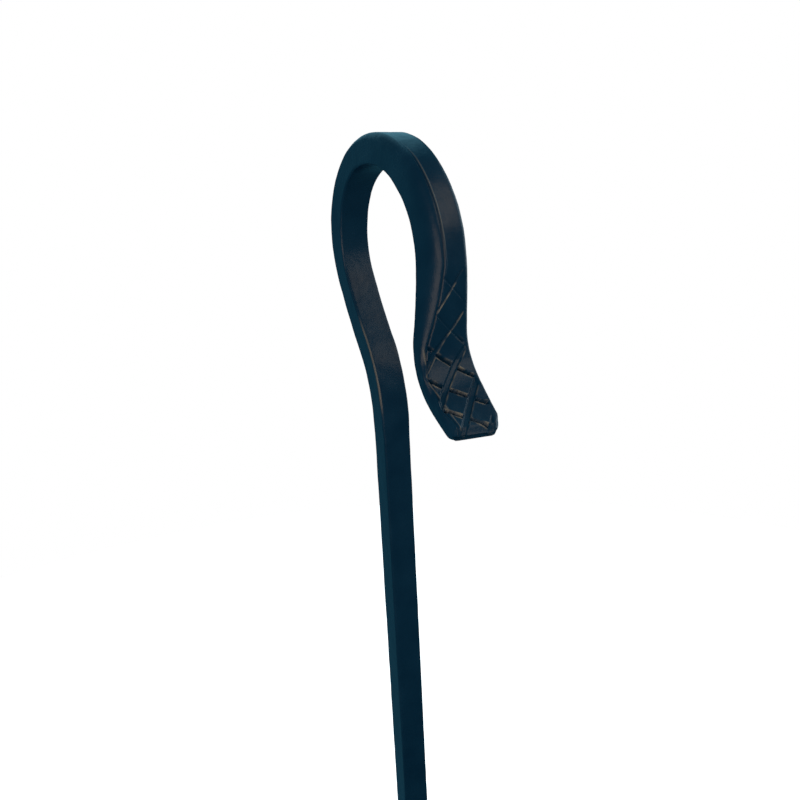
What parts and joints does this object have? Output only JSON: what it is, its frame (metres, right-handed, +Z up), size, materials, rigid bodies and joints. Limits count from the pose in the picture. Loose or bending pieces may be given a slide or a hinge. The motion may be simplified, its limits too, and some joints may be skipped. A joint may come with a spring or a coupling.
{
  "type": "fireplace tool set",
  "caption": "Floor-standing fireplace tool set: square-bar stand with a forged crook handle and a rail carrying a shovel, a poker, a brush and tongs on smaller crooks.",
  "frame": {"origin": "on the floor, under the middle of the base plate", "axes": "+Z up, -Y to the front where the rail and tools hang, +X to the right seen from the front"},
  "size_m": [0.317, 0.22, 0.8652],
  "materials": {
    "iron": "satin black forged and painted square bar, slightly blue",
    "foot": "satin black turned foot",
    "fastener": "blackened steel rivets, screws, nut and pin",
    "wood": "dark stained and oiled",
    "bristle": "matt natural fibre"
  },
  "bodies": {
    "stand": {"base_plate": "iron", "foot_fl": "foot", "foot_fr": "foot", "foot_bl": "foot", "foot_br": "foot", "post": "iron", "post_washer": "fastener", "post_nut": "fastener", "base_collar": "iron", "hub": "iron", "hub_screw_low": "fastener", "hub_screw_high": "fastener", "handle": "iron", "arm": "iron", "rail": "iron", "ring_l": "iron", "ring_r": "iron", "finial_l": "iron", "finial_r": "iron"},
    "shovel": {"shovel_bar": "iron", "pan_socket": "iron", "pan": "iron", "rivet_l": "fastener", "rivet_r": "fastener"},
    "poker": {"poker_bar": "iron", "poker_barb": "iron"},
    "brush": {"brush_bar": "iron", "ferrule": "iron", "brush_block": "wood", "bristles": "bristle"},
    "tongs": {"tongs_bar": "iron", "yoke": "iron", "pivot_pin": "fastener", "pivot_cap": "fastener"},
    "tongs_left": {"tongs_arm_l": "iron"},
    "tongs_right": {"tongs_arm_r": "iron"}
  },
  "joints": [
    {"name": "shovel_lift", "type": "slide", "parent": "stand", "child": "shovel", "axis": [0, -0.2756, 0.9613], "range_m": [0, 0.12]},
    {"name": "poker_lift", "type": "slide", "parent": "stand", "child": "poker", "axis": [0, -0.2756, 0.9613], "range_m": [0, 0.12]},
    {"name": "brush_lift", "type": "slide", "parent": "stand", "child": "brush", "axis": [0, -0.2756, 0.9613], "range_m": [0, 0.12]},
    {"name": "tongs_lift", "type": "slide", "parent": "stand", "child": "tongs", "axis": [0, -0.2756, 0.9613], "range_m": [0, 0.12]},
    {"name": "tongs_left_pivot", "type": "hinge", "parent": "tongs", "child": "tongs_left", "pos_m": [0.108, -0.033, 0.292], "axis": [0, 1, 0], "range_deg": [0, 8]},
    {"name": "tongs_right_pivot", "type": "hinge", "parent": "tongs", "child": "tongs_right", "pos_m": [0.108, -0.033, 0.292], "axis": [0, -1, 0], "range_deg": [0, 8]}
  ]
}
